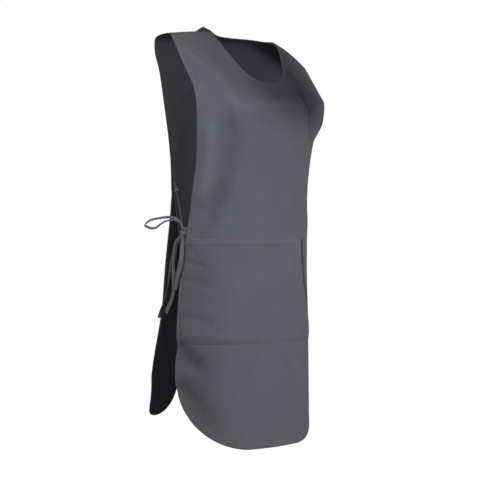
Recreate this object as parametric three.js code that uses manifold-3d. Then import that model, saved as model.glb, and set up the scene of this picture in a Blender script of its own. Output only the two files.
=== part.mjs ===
// Cobbler apron: a sleeveless tabard in plain grey twill, with the shape that it has when worn.
// Millimetres, +Z up. The front faces -Y and the wearer's right side is at -X.
// The origin is the seat on the shoulders: midway between the straps, under their seams.

import * as THREE from 'three';
import { mergeVertices } from 'three/addons/utils/BufferGeometryUtils.js';
import Module from 'manifold-3d';

const wasm = await Module();
wasm.setup();

// Cloth
const clothWall = 1.2;
const pieceGap = 0.3;

// Shoulders and neck, shared by the two panels
const shoulderHalf = 189;
const neckHalf = 88;
const rightSlope = 14;
const leftSlope = 56;
const slopeStart = 40;
const slopeReach = 170;
const slopePower = 1.8;

// Front panel: its length runs along the cloth from the shoulder seam to the hem
const frontLength = 855;
const frontHemHalf = 175;
const frontDepth = 105;
const frontNeckDrop = 140;
const frontNeckSquareness = 0.91;
const frontCornerAcross = 156;
const frontCornerUp = 150;
const frontHemRise = 0;
const frontHemTilt = 7;

// Back panel
const backLength = 806;
const backHemHalf = 168;
const backDepth = 112;
const backNeckDrop = 27;
const backNeckSquareness = 0.75;
const backCornerAcross = 85;
const backCornerUp = 90;
const backHemRise = 66;
const backHemTilt = 0;

// Pocket: its bottom seam is placed from the hem, and its left edge is cut back from the side
const pocketRise = 204;
const pocketDepth = 202;
const pocketSeamGap = 0.5;
const pocketEase = 1.6;
const pocketEaseAcross = 0.3;
const pocketEaseSide = 0.25;
const pocketEasePower = 0.7;
const pocketSideInset = 5;
const pocketLeftTop = 96;
const pocketLeftBottom = 38;
const pocketLeftCurve = 3;

// Ties: tapes sewn inside the side edges and bowed at each side of the waist
const tapeWidth = 10;
const tapeWall = 1.2;
const tapeGather = 0.2;
const gatherLength = 18;
const tieSewn = 12;
const tieSeatGap = 0.7;
const tiePastEdge = 3;
const frontTieDown = 430;
const backTieDown = 346;
const knotOut = 5;
const knotBack = 7;
const knotDrop = 7;
const knotHeight = 6;
const knotWall = 1.6;
const knotRounding = 0.6;
const coreWidth = 6;
const coreWall = 2.4;
const coreGap = 1;
const coreOverhang = 3.5;
const seatInset = 1.5;
const sideLoopReach = 72;
const hangLoopDrop = 111;
const frontTailDrop = 155;
const backTailDrop = 165;

// Mesh fineness
const clothColumns = 36;
const clothRows = [12, 5, 5];
const backLevels = [0.53, 0.77];
const hemSpread = 1.25;
const straightHem = 10;
const cutterRows = 12;
const cutterColumns = 8;
const cutterOverrun = 0.05;
const mergeDistance = 1e-4;
const edgeSteps = 60;
const seamSteps = 40;
const leadSegments = 12;
const loopSegments = 40;
const tailSegments = 18;
const knotSides = 16;
const sampleShare = 0.004;
const sampleLength = 1;

// Sections: a row is a level section of half a panel. Lengths down the cloth are shares of the
// panel's length, across are shares of its half width there, and forward are shares of its depth.
// at: place down the cloth, fall: height lost, reach: depth at the middle, corner: where the section
// turns, out: half width at the side edge, forward: depth at the side edge, fullness: how square it is.
const sectionColumns = ['at', 'fall', 'reach', 'corner', 'out', 'forward', 'fullness'];
const frontSections = named(sectionColumns, [
  [0.000, 0.000, 0.00, 0.370, 1.000, 0.00, 0.60],
  [0.022, 0.005, 0.17, 0.370, 1.000, 0.06, 0.60],
  [0.053, 0.024, 0.34, 0.390, 0.998, 0.13, 0.60],
  [0.094, 0.056, 0.52, 0.420, 0.988, 0.25, 0.62],
  [0.147, 0.106, 0.76, 0.496, 0.978, 0.46, 0.66],
  [0.176, 0.132, 0.86, 0.554, 0.966, 0.56, 0.72],
  [0.214, 0.168, 0.92, 0.621, 0.950, 0.61, 0.80],
  [0.282, 0.235, 0.93, 0.662, 0.908, 0.55, 0.82],
  [0.341, 0.294, 0.90, 0.675, 0.865, 0.45, 0.82],
  [0.412, 0.365, 0.86, 0.688, 0.860, 0.34, 0.80],
  [0.506, 0.459, 0.86, 0.702, 0.875, 0.20, 0.80],
  [0.588, 0.541, 0.90, 0.707, 0.905, 0.09, 0.80],
  [0.706, 0.659, 0.95, 0.723, 0.943, 0.03, 0.80],
  [0.824, 0.777, 0.98, 0.735, 0.971, 0.01, 0.78],
  [1.000, 0.953, 1.00, 0.750, 1.000, 0.00, 0.78],
]);
const backSections = named(sectionColumns, [
  [0.000, 0.000, 0.00, 0.373, 1.000, 0.00, 0.60],
  [0.027, 0.004, 0.18, 0.373, 1.000, 0.21, 0.60],
  [0.052, 0.012, 0.34, 0.393, 1.000, 0.33, 0.60],
  [0.093, 0.045, 0.51, 0.449, 0.990, 0.38, 0.60],
  [0.149, 0.097, 0.64, 0.515, 0.967, 0.32, 0.62],
  [0.223, 0.170, 0.73, 0.565, 0.902, 0.34, 0.66],
  [0.310, 0.256, 0.76, 0.608, 0.829, 0.36, 0.70],
  [0.372, 0.318, 0.76, 0.640, 0.820, 0.31, 0.74],
  [0.459, 0.404, 0.78, 0.674, 0.843, 0.21, 0.78],
  [0.552, 0.496, 0.88, 0.729, 0.881, 0.05, 0.82],
  [0.620, 0.564, 0.93, 0.764, 0.897, -0.02, 0.84],
  [0.744, 0.686, 0.99, 0.814, 0.925, -0.03, 0.85],
  [0.868, 0.806, 1.17, 0.866, 0.954, -0.02, 0.86],
  [1.000, 0.938, 1.32, 0.920, 0.980, 0.00, 0.86],
]);

// Folds: a row is one ridge, or a valley where its height is negative, from one place on the cloth
// to another. across is a share of the half section, down of the length, width and height of the depth.
const foldColumns = ['fromAcross', 'fromDown', 'toAcross', 'toDown', 'width', 'height'];
const frontFolds = named(foldColumns, [
  [-0.90, 0.070, -0.46, 0.228, 0.16, 0.040],
  [-0.46, 0.228, 0.50, 0.215, 0.20, 0.045],
  [-0.53, 0.240, -0.42, 0.300, 0.15, -0.040],
  [-0.42, 0.300, -0.50, 0.378, 0.17, -0.050],
  [-0.50, 0.378, -0.69, 0.482, 0.17, -0.045],
  [-0.69, 0.482, -0.84, 0.515, 0.14, -0.030],
  [0.52, 0.120, 0.54, 0.213, 0.14, -0.040],
  [0.55, 0.217, 0.64, 0.290, 0.15, -0.050],
  [0.99, 0.205, 0.99, 0.245, 0.20, 0.060],
  [0.97, 0.315, 0.94, 0.385, 0.24, -0.065],
  [0.80, 0.490, 0.82, 0.980, 0.32, 0.040],
  [-0.96, 0.767, -0.70, 0.842, 0.14, -0.035],
  [-0.92, 0.862, -0.66, 0.952, 0.16, -0.040],
]);
const backFolds = named(foldColumns, [
  [-0.34, 0.018, -0.52, 0.006, 0.14, 0.060],
  [-0.36, 0.300, -0.42, 0.900, 0.24, 0.050],
  [0.10, 0.380, 0.06, 0.960, 0.22, -0.040],
  [0.48, 0.320, 0.55, 0.900, 0.24, 0.050],
]);

// Tape routes from the knot: outwards, backwards and upwards, as shares of the tape's own length
const routeColumns = ['out', 'back', 'up'];
const sideLoopRoute = named(routeColumns, [
  [0.03, 0.07, 0.29],
  [0.10, 0.18, 0.40],
  [0.19, 0.32, 0.42],
  [0.35, 0.50, 0.40],
  [0.56, 0.66, 0.34],
  [0.71, 0.71, 0.21],
  [0.68, 0.58, 0.13],
  [0.59, 0.44, 0.13],
  [0.49, 0.36, 0.22],
  [0.36, 0.26, 0.31],
  [0.21, 0.15, 0.35],
  [0.07, 0.07, 0.29],
  [-0.01, 0.05, 0.17],
]);
const hangLoopRoute = named(routeColumns, [
  [0.08, 0.08, -0.18],
  [0.08, 0.12, -0.35],
  [0.09, 0.14, -0.52],
  [0.09, 0.13, -0.70],
  [0.09, 0.12, -0.90],
  [0.08, 0.11, -1.00],
  [0.08, 0.09, -0.93],
  [0.08, 0.06, -0.80],
  [0.08, -0.01, -0.58],
  [0.08, -0.06, -0.35],
  [0.06, -0.06, -0.17],
]);
const frontTailRoute = named(routeColumns, [
  [0.03, -0.02, -0.14],
  [0.05, -0.02, -0.35],
  [0.05, 0.04, -0.55],
  [0.05, 0.10, -0.68],
  [0.05, 0.16, -0.84],
  [0.06, 0.20, -0.92],
  [0.06, 0.25, -1.00],
]);
const backTailRoute = named(routeColumns, [
  [0.00, 0.09, -0.09],
  [0.01, 0.14, -0.18],
  [0.01, 0.18, -0.35],
  [0.02, 0.22, -0.58],
  [0.03, 0.27, -0.76],
  [0.03, 0.33, -0.89],
  [0.03, 0.38, -1.00],
]);

// Where the ends of the tapes sit in their core: spread is a share of its width, level of its height
const seatColumns = ['spread', 'level'];
const [frontLeadSeat, hangLoopStart, hangLoopEnd, frontTailSeat] = named(seatColumns, [
  [-0.10, 1.00],
  [0.20, -0.85],
  [-0.20, -0.95],
  [-0.05, -0.90],
]);
const [backLeadSeat, sideLoopStart, sideLoopEnd, backTailSeat] = named(seatColumns, [
  [-0.05, 1.00],
  [0.20, 0.95],
  [-0.10, 0.80],
  [0.05, -0.90],
]);

// Directions that the widths of two of the tapes keep to
const sideLoopWidth = { out: -0.5, back: 0.5, up: 0.7 };
const backTailWidth = { out: 0.9, back: -0.4, up: 0 };

const twill = { color: 0x5c5d64, roughness: 0.88, metalness: 0 };
const tapeCloth = { color: 0x63646b, roughness: 0.85, metalness: 0 };

/** Rows of numbers as objects with a named value for each column. */
function named(columns, rows) {
  return rows.map((row) => Object.fromEntries(columns.map((column, k) => [column, row[k]])));
}

/** The value of a table's column at a place, on a smooth curve through the rows. */
function valueAt(table, column, at) {
  const last = table.length - 1;
  let k = 0;
  while (k < last - 1 && at > table[k + 1].at) {
    k += 1;
  }
  const slope = (i) => (table[i + 1][column] - table[i][column]) / (table[i + 1].at - table[i].at);
  const tangent = (i) => {
    if (i === 0 || i === last) {
      return slope(Math.min(i, last - 1));
    }
    const before = table[i].at - table[i - 1].at;
    const after = table[i + 1].at - table[i].at;
    return (slope(i - 1) * after + slope(i) * before) / (before + after);
  };
  const span = table[k + 1].at - table[k].at;
  const t = (at - table[k].at) / span;
  const start = (1 + 2 * t) * (1 - t) ** 2 * table[k][column];
  const stop = t * t * (3 - 2 * t) * table[k + 1][column];
  return start + stop + span * (t * (1 - t) ** 2 * tangent(k) + t * t * (t - 1) * tangent(k + 1));
}

/** The middle of a panel's cloth before its folds, at a share across (-1 to 1) and a length down. */
function plainPoint(panel, across, down) {
  const at = down / panel.length;
  const half = THREE.MathUtils.lerp(shoulderHalf, panel.hemHalf, at);
  const value = (column) => valueAt(panel.sections, column, at);
  const reach = value('reach') * panel.depth;
  const turn = new THREE.Vector2(value('corner') * half, reach);
  const middle = new THREE.Vector2(0, reach);
  const edge = new THREE.Vector2(value('out') * half, value('forward') * panel.depth);
  const fullness = value('fullness');
  const section = new THREE.CubicBezierCurve(
    middle,
    middle.clone().lerp(turn, fullness),
    edge.clone().lerp(turn, fullness),
    edge,
  );
  const place = section.getPoint(Math.abs(across));
  const leaning = Math.max(0, (place.x - slopeStart) / (shoulderHalf - slopeStart)) ** slopePower;
  const slope = across < 0 ? rightSlope : leftSlope;
  const lean = slope * leaning * Math.max(0, 1 - down / slopeReach);
  return new THREE.Vector3(
    Math.sign(across) * place.x,
    panel.facing * (pieceGap / 2 + place.y),
    clothWall / 2 - value('fall') * panel.length - lean,
  );
}

/** The outward direction of a panel's cloth, level along the shoulder seam. */
function outward(panel, across, down) {
  const sideStep = new THREE.Vector3().subVectors(
    plainPoint(panel, Math.min(1, across + sampleShare), down),
    plainPoint(panel, Math.max(-1, across - sampleShare), down),
  );
  const downStep = new THREE.Vector3().subVectors(
    plainPoint(panel, across, Math.min(panel.length, down + sampleLength)),
    plainPoint(panel, across, Math.max(0, down - sampleLength)),
  );
  const normal = sideStep.cross(downStep).multiplyScalar(panel.facing);
  if (down < sampleLength) {
    normal.y = 0;
  }
  return normal.normalize();
}

/** How far a panel's folds lift its cloth: the sum of a smooth bump along each fold. */
function foldLift(panel, across, down) {
  const place = new THREE.Vector2(across * panel.hemHalf, down);
  let lift = 0;
  for (const fold of panel.folds) {
    const from = new THREE.Vector2(fold.fromAcross * panel.hemHalf, fold.fromDown * panel.length);
    const to = new THREE.Vector2(fold.toAcross * panel.hemHalf, fold.toDown * panel.length);
    const run = to.clone().sub(from);
    const share = THREE.MathUtils.clamp(place.clone().sub(from).dot(run) / run.lengthSq(), 0, 1);
    const away = place.distanceTo(from.lerp(to, share)) / (fold.width * panel.depth);
    lift += fold.height * panel.depth * Math.exp(-away * away);
  }
  return lift;
}

/** A point at a height over the middle of a panel's cloth, folds included. */
function clothPoint(panel, across, down, height) {
  const lift = height + foldLift(panel, across, down);
  return plainPoint(panel, across, down).addScaledVector(outward(panel, across, down), lift);
}

/** The share across at a length measured in from the side edge along the section at a level. */
function shareFromEdge(panel, down, inward) {
  let length = 0;
  let before = plainPoint(panel, 1, down);
  for (let k = 1; k <= edgeSteps; k += 1) {
    const share = 1 - k / edgeSteps;
    const here = plainPoint(panel, share, down);
    const step = here.distanceTo(before);
    if (length + step >= inward) {
      return share + (length + step - inward) / step / edgeSteps;
    }
    length += step;
    before = here;
  }
  return 0;
}

/** The share across of the inner end of a shoulder seam. */
function neckShare(panel) {
  let low = 0;
  let high = 1;
  for (let k = 0; k < seamSteps; k += 1) {
    const middle = (low + high) / 2;
    if (plainPoint(panel, middle, 0).x < neckHalf) {
      low = middle;
    } else {
      high = middle;
    }
  }
  return low;
}

/** The places where a panel's columns start: along a seam, round the scoop neck, along the other seam. */
function topPlaces(panel) {
  const share = neckShare(panel);
  const strap = shoulderHalf - neckHalf;
  const neckline = Math.PI * Math.hypot(neckHalf, panel.neckDrop) / Math.SQRT2;
  const strapColumns = Math.round((clothColumns * strap) / (2 * strap + neckline));
  const neckColumns = clothColumns - 2 * strapColumns;
  const places = [];
  for (let j = 0; j <= clothColumns; j += 1) {
    if (j <= strapColumns) {
      places.push({ across: THREE.MathUtils.lerp(-1, -share, j / strapColumns), down: 0 });
    } else if (j < clothColumns - strapColumns) {
      const angle = Math.PI * (1 - (j - strapColumns) / neckColumns);
      const across = share * Math.sign(Math.cos(angle)) * Math.abs(Math.cos(angle)) ** panel.neckSquareness;
      places.push({ across, down: panel.neckDrop * Math.sin(angle) });
    } else {
      const step = (clothColumns - j) / strapColumns;
      places.push({ across: THREE.MathUtils.lerp(1, share, step), down: 0 });
    }
  }
  return places;
}

/** The places where a panel's columns end: round a hem corner, along the hem, round the other corner. */
function hemPlaces(panel) {
  const cornerTop = panel.length - panel.cornerUp;
  const corner = (Math.PI / 2) * Math.hypot(panel.cornerAcross, panel.cornerUp) / Math.SQRT2;
  const straight = Math.max(straightHem, hemSpread * panel.hemHalf - panel.cornerAcross);
  const cornerColumns = Math.round((clothColumns / 2) * (corner / (corner + straight)));
  const half = [];
  for (let j = 0; j <= clothColumns / 2; j += 1) {
    const angle = (Math.PI / 2) * Math.min(1, j / cornerColumns);
    const inward = panel.cornerAcross * (1 - Math.cos(angle));
    const turned = shareFromEdge(panel, cornerTop, inward);
    const rest = Math.max(0, (j - cornerColumns) / (clothColumns / 2 - cornerColumns));
    const rise = panel.hemRise * THREE.MathUtils.smoothstep(rest, 0, 1);
    half.push({ across: turned * (1 - rest), down: cornerTop + panel.cornerUp * Math.sin(angle) - rise });
  }
  const right = half.map(({ across, down }) => ({ across: -across, down }));
  const left = half.map(({ across, down }) => ({ across, down: down - panel.hemTilt * across }));
  return right.concat(left.slice(0, -1).reverse());
}

/** The places of a panel's grid, ruled from the top edge to two level lines and on to the hem. */
function panelPlaces(panel) {
  const top = topPlaces(panel);
  const hem = hemPlaces(panel);
  const level = (down) => top.map((_, j) => ({ across: (2 * j) / clothColumns - 1, down }));
  const lines = [top, level(panel.levels[0]), level(panel.levels[1]), hem];
  const grid = [top];
  clothRows.forEach((count, zone) => {
    for (let i = 1; i <= count; i += 1) {
      grid.push(lines[zone].map((from, j) => ({
        across: THREE.MathUtils.lerp(from.across, lines[zone + 1][j].across, i / count),
        down: THREE.MathUtils.lerp(from.down, lines[zone + 1][j].down, i / count),
      })));
    }
  });
  return grid;
}

/** A closed body from an outer and an inner grid of points, with a rim round its four edges. */
function shell(outer, inner) {
  const rows = outer.length;
  const columns = outer[0].length;
  const vertices = [...outer.flat(), ...inner.flat()].flatMap((point) => point.toArray());
  const over = (i, j) => i * columns + j;
  const under = (i, j) => rows * columns + i * columns + j;
  const faces = [];
  const quad = (a, b, c, d) => faces.push(a, b, c, a, c, d);
  for (let i = 0; i < rows - 1; i += 1) {
    for (let j = 0; j < columns - 1; j += 1) {
      quad(over(i, j), over(i + 1, j), over(i + 1, j + 1), over(i, j + 1));
      quad(under(i, j), under(i, j + 1), under(i + 1, j + 1), under(i + 1, j));
    }
    quad(over(i, 0), under(i, 0), under(i + 1, 0), over(i + 1, 0));
    quad(over(i, columns - 1), over(i + 1, columns - 1), under(i + 1, columns - 1), under(i, columns - 1));
  }
  for (let j = 0; j < columns - 1; j += 1) {
    quad(over(0, j), over(0, j + 1), under(0, j + 1), under(0, j));
    quad(over(rows - 1, j), under(rows - 1, j), under(rows - 1, j + 1), over(rows - 1, j + 1));
  }
  return facingOut(vertices, faces);
}

/** A geometry whose faces point out of the body, turned round where their volume comes out negative. */
function facingOut(vertices, faces) {
  const corner = (k) => new THREE.Vector3().fromArray(vertices, 3 * faces[k]);
  let volume = 0;
  for (let k = 0; k < faces.length; k += 3) {
    volume += corner(k).dot(corner(k + 1).cross(corner(k + 2)));
  }
  const index = volume < 0 ? faces.slice().reverse() : faces;
  const geometry = new THREE.BufferGeometry();
  geometry.setAttribute('position', new THREE.Float32BufferAttribute(vertices, 3));
  geometry.setIndex(index);
  geometry.computeVertexNormals();
  return geometry;
}

/** A named mesh in a plain cloth finish. */
function clothMesh(name, geometry, finish) {
  const mesh = new THREE.Mesh(geometry, new THREE.MeshStandardMaterial(finish));
  mesh.name = name;
  return mesh;
}

const pocketBottom = frontLength - pocketRise;
const front = {
  facing: -1,
  length: frontLength,
  hemHalf: frontHemHalf,
  depth: frontDepth,
  neckDrop: frontNeckDrop,
  neckSquareness: frontNeckSquareness,
  cornerAcross: frontCornerAcross,
  cornerUp: frontCornerUp,
  hemRise: frontHemRise,
  hemTilt: frontHemTilt,
  sections: frontSections,
  folds: frontFolds,
  levels: [pocketBottom - pocketDepth, pocketBottom],
};
const back = {
  facing: 1,
  length: backLength,
  hemHalf: backHemHalf,
  depth: backDepth,
  neckDrop: backNeckDrop,
  neckSquareness: backNeckSquareness,
  cornerAcross: backCornerAcross,
  cornerUp: backCornerUp,
  hemRise: backHemRise,
  hemTilt: backHemTilt,
  sections: backSections,
  folds: backFolds,
  levels: backLevels.map((share) => share * backLength),
};

/** A panel: a thin wall of cloth over its grid of places. */
function panelGeometry(panel) {
  const grid = panelPlaces(panel);
  const wall = (height) => grid.map((row) => (
    row.map(({ across, down }) => clothPoint(panel, across, down, height))
  ));
  return shell(wall(clothWall / 2), wall(-clothWall / 2));
}

/** The pocket: a second wall on the front's own columns, with its left edge cut back in a curve. */
function pocketGeometry() {
  const [top, bottom] = front.levels;
  const side = shareFromEdge(front, top, pocketSideInset);
  const rows = clothRows[1];
  const standOff = clothWall / 2 + pocketSeamGap;
  const wall = (height) => Array.from({ length: rows + 1 }, (_, i) => (
    Array.from({ length: clothColumns + 1 }, (_unused, j) => {
      const across = THREE.MathUtils.clamp((2 * j) / clothColumns - 1, -side, side);
      const fall = i / rows;
      const fromSeams = Math.min(1, Math.abs(across) / pocketEaseAcross, (across + side) / pocketEaseSide);
      const lift = standOff + pocketEase * fromSeams * (1 - fall) ** pocketEasePower + height;
      return clothPoint(front, across, THREE.MathUtils.lerp(top, bottom, fall), lift);
    })
  ));
  const leftTop = shareFromEdge(front, top, pocketLeftTop);
  const leftBottom = shareFromEdge(front, bottom, pocketLeftBottom);
  const cutter = (height) => Array.from({ length: cutterRows + 1 }, (_, i) => {
    const fall = THREE.MathUtils.lerp(-cutterOverrun, 1 + cutterOverrun, i / cutterRows);
    const left = THREE.MathUtils.lerp(leftTop, leftBottom, Math.max(0, fall) ** pocketLeftCurve);
    const down = THREE.MathUtils.lerp(top, bottom, fall);
    return Array.from({ length: cutterColumns + 1 }, (_unused, j) => (
      clothPoint(front, THREE.MathUtils.lerp(left, 1, j / cutterColumns), down, height)
    ));
  });
  const beyond = standOff + pocketEase + 3 * clothWall;
  return fromSolid(solid(shell(wall(clothWall), wall(0))).subtract(solid(shell(cutter(beyond), cutter(0)))));
}

/** A flat tape along a smooth route, its width kept along an axis and gathered at the knot's ends. */
function tapeGeometry(route, axis, segments, gatheredStart, gatheredEnd) {
  const curve = new THREE.CatmullRomCurve3(route, false, 'centripetal');
  const gatherShare = gatherLength / curve.getLength();
  const grid = [[], []];
  for (let k = 0; k <= segments; k += 1) {
    const t = k / segments;
    const point = curve.getPointAt(t);
    const along = curve.getTangentAt(t);
    const thick = new THREE.Vector3().crossVectors(along, axis).normalize();
    const wide = new THREE.Vector3().crossVectors(thick, along).normalize();
    const nearStart = gatheredStart ? Math.min(1, t / gatherShare) : 1;
    const nearEnd = gatheredEnd ? Math.min(1, (1 - t) / gatherShare) : 1;
    const half = (tapeWidth / 2) * THREE.MathUtils.lerp(tapeGather, 1, nearStart * nearEnd);
    for (const [side, wall] of grid.entries()) {
      const lift = (side === 0 ? tapeWall : -tapeWall) / 2;
      wall.push([-half, half].map((offset) => (
        point.clone().addScaledVector(wide, offset).addScaledVector(thick, lift)
      )));
    }
  }
  return shell(grid[0], grid[1]);
}

/** A solid for joining, from a closed geometry. */
function solid(geometry) {
  const bare = new THREE.BufferGeometry();
  bare.setAttribute('position', geometry.getAttribute('position').clone());
  bare.setIndex(geometry.getIndex().clone());
  const merged = mergeVertices(bare, mergeDistance);
  return new wasm.Manifold(new wasm.Mesh({
    numProp: 3,
    vertProperties: new Float32Array(merged.getAttribute('position').array),
    triVerts: new Uint32Array(merged.getIndex().array),
  }));
}

/** One closed geometry from several that run into each other, without the crumbs of gathered cloth. */
function joined(geometries) {
  const bodies = geometries.map(solid).reduce((sum, next) => sum.add(next)).decompose();
  return fromSolid(bodies.reduce((most, next) => (next.volume() > most.volume() ? next : most)));
}

/** A geometry from a joined or cut solid. */
function fromSolid(body) {
  const mesh = body.getMesh();
  const geometry = new THREE.BufferGeometry();
  geometry.setAttribute('position', new THREE.Float32BufferAttribute(mesh.vertProperties, 3));
  geometry.setIndex(new THREE.Uint32BufferAttribute(mesh.triVerts, 1));
  geometry.computeVertexNormals();
  return geometry;
}

/** The start of a tie: sewn inside the side edge of a panel and just past the edge. */
function sewnRoute(panel, side, down) {
  const depth = -(clothWall / 2 + tieSeatGap + tapeWall / 2);
  const inside = clothPoint(panel, side * shareFromEdge(panel, down, tieSewn), down, depth);
  const nearEdge = clothPoint(panel, side * shareFromEdge(panel, down, tieSewn / 2), down, depth);
  const edge = clothPoint(panel, side, down, depth);
  const past = edge.clone().addScaledVector(edge.clone().sub(nearEdge).normalize(), tiePastEdge);
  return [inside, nearEdge, edge, past];
}

/** The two ties and the knot of one side, side being -1 at the wearer's right and 1 at the left. */
function sideBow(side, name) {
  const edge = clothPoint(front, side, frontTieDown, 0);
  const knot = edge.clone().add(new THREE.Vector3(side * knotOut, knotBack, -knotDrop));
  const coreHalf = knotHeight / 2 + coreOverhang;
  const seat = coreHalf - seatInset;
  const coreShift = (coreWall + coreGap) / 2;
  const place = (out, backward, up) => knot.clone().add(new THREE.Vector3(side * out, backward, up));
  const routed = (route, length) => (
    route.map((row) => place(row.out * length, row.back * length, row.up * length))
  );
  const core = (shift) => new THREE.BoxGeometry(coreWall, coreWidth, 2 * coreHalf).translate(
    knot.x + side * shift,
    knot.y,
    knot.z,
  );
  const up = new THREE.Vector3(0, 0, 1);
  const acrossLoop = new THREE.Vector3(side * sideLoopWidth.out, sideLoopWidth.back, sideLoopWidth.up);
  const acrossBody = new THREE.Vector3(side, 0, 0);
  const acrossTail = new THREE.Vector3(side * backTailWidth.out, backTailWidth.back, backTailWidth.up);

  const seated = (shift, end) => place(shift, end.spread * coreWidth, end.level * seat);
  const frontTie = joined([
    core(coreShift),
    tapeGeometry([
      ...sewnRoute(front, side, frontTieDown),
      place(coreShift, -coreWidth, coreHalf),
      seated(coreShift, frontLeadSeat),
    ], up, leadSegments, false, true),
    tapeGeometry([
      seated(coreShift, hangLoopStart),
      ...routed(hangLoopRoute, hangLoopDrop),
      seated(coreShift, hangLoopEnd),
    ], acrossBody, loopSegments, true, true),
    tapeGeometry([
      seated(coreShift, frontTailSeat),
      ...routed(frontTailRoute, frontTailDrop),
    ], acrossBody, tailSegments, true, false),
  ]);
  const backTie = joined([
    core(-coreShift),
    tapeGeometry([
      ...sewnRoute(back, side, backTieDown),
      seated(-coreShift, backLeadSeat),
    ], up, leadSegments, false, true),
    tapeGeometry([
      seated(-coreShift, sideLoopStart),
      ...routed(sideLoopRoute, sideLoopReach),
      seated(-coreShift, sideLoopEnd),
    ], acrossLoop, loopSegments, true, true),
    tapeGeometry([
      seated(-coreShift, backTailSeat),
      ...routed(backTailRoute, backTailDrop),
    ], acrossTail, tailSegments, true, false),
  ]);

  const hole = Math.hypot(coreWidth / 2, coreWall + coreGap / 2) + pieceGap;
  const bulge = knotWall * knotRounding;
  const ringProfile = [
    new THREE.Vector2(hole, -knotHeight / 2),
    new THREE.Vector2(hole + bulge, -knotHeight / 2),
    new THREE.Vector2(hole + knotWall, 0),
    new THREE.Vector2(hole + bulge, knotHeight / 2),
    new THREE.Vector2(hole, knotHeight / 2),
    new THREE.Vector2(hole, -knotHeight / 2),
  ];
  const ring = new THREE.LatheGeometry(ringProfile, knotSides).rotateX(Math.PI / 2);
  ring.translate(knot.x, knot.y, knot.z);
  return [
    clothMesh(`${name}_front_tie`, frontTie, tapeCloth),
    clothMesh(`${name}_back_tie`, backTie, tapeCloth),
    clothMesh(`${name}_knot`, ring, tapeCloth),
  ];
}

const group = new THREE.Group();
group.add(clothMesh('front_panel', panelGeometry(front), twill));
group.add(clothMesh('back_panel', panelGeometry(back), twill));
group.add(clothMesh('pocket', pocketGeometry(), twill));
group.add(...sideBow(-1, 'right'));
group.add(...sideBow(1, 'left'));

export default group;
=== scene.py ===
import math
import bpy
import numpy as np
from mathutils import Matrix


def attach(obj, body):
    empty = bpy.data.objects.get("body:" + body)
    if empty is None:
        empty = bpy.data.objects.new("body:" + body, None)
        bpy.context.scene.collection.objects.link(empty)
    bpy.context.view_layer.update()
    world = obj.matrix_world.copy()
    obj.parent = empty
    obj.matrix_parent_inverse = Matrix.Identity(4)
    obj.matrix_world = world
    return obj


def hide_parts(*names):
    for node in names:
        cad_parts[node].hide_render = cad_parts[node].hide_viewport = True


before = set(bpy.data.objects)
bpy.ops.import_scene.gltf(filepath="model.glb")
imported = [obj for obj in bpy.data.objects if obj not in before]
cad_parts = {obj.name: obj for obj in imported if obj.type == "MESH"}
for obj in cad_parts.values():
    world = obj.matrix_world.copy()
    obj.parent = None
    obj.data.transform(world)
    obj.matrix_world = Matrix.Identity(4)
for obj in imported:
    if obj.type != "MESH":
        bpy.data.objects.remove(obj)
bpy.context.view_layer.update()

# Looks of the cobbler apron, in the shared frame. Surfaces are worked out in millimetres and stored in
# metres. +Z is up, the front faces -Y and the wearer's right side is at -X.
MILLIMETRE = 0.001
METRE = 1000.0

# Cloth
CLOTH_WALL = 1.2

# Shoulders and neck, shared by the two panels
SHOULDER_HALF = 189.0
NECK_HALF = 88.0
RIGHT_SLOPE = 14.0
LEFT_SLOPE = 56.0
SLOPE_START = 40.0
SLOPE_REACH = 170.0
SLOPE_POWER = 1.8

# Hems and seams
HEM_WIDTH = 12.0
HEM_STITCH = 10.0
HEM_EXTRA = 0.3
HEM_FADE = 1.0
EDGE_ROUND = 1.5
EDGE_THINNEST = 0.08
SEAM_STITCH = 3.0
SEAM_DIP = 0.6
SEAM_DIP_WIDTH = 1.5
STITCH_LENGTH = 3.0
THREAD_WIDTH = 0.5
FAR_AWAY = 1000.0

# Pocket
POCKET_RISE = 204.0
POCKET_DEPTH = 202.0
POCKET_SEAM_GAP = 0.5
POCKET_EASE = 1.6
POCKET_EASE_ACROSS = 0.3
POCKET_EASE_SIDE = 0.25
POCKET_EASE_POWER = 0.7
POCKET_SIDE_INSET = 5.0
POCKET_LEFT_TOP = 96.0
POCKET_LEFT_BOTTOM = 38.0
POCKET_LEFT_CURVE = 3.0
POCKET_THINNER = 0.75
POCKET_EDGE_THINNER = 0.45
POCKET_EDGE_WIDTH = 2.5
POCKET_CLEAR = 0.3
DIVIDER_TOP = -0.04
DIVIDER_BOTTOM = -0.09
DIVIDER_CURVE = 1.5

# The pocket's surface, fullest on the near side, the wearer's right: where that side begins and is full,
# as shares across, and how far the cloth is eased, sunk at its seams and puffed out over the bottom one
NEAR_BEGINS = 0.1
NEAR_FULL = -0.6
FAR_EASE = 0.25
FAR_SUNK = 0.3
SEAM_SUNK = 0.6
SEAM_SUNK_NEAR = 3.0
SEAM_SUNK_FAR = 14.0
DIVIDER_SUNK_WIDTH = 3.0
PUFF = 1.4
PUFF_UP = 15.0
PUFF_WIDTH = 9.0
PUFF_AT_DIVIDER = 0.2
PUFF_FROM_DIVIDER = 14.0

# The pocket's side slit: the strip beside it that the pocket hides, at its top and bottom, how wide
# the slit's painted shade is on the front and on the pocket, and how dark it is
SLIT_HIDDEN = 7.0
SLIT_HIDDEN_LOW = 15.4
SLIT_SHADE = 9.0
SLIT_SHADE_ON_POCKET = 3.6
SLIT_DARKNESS = 0.75

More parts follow.
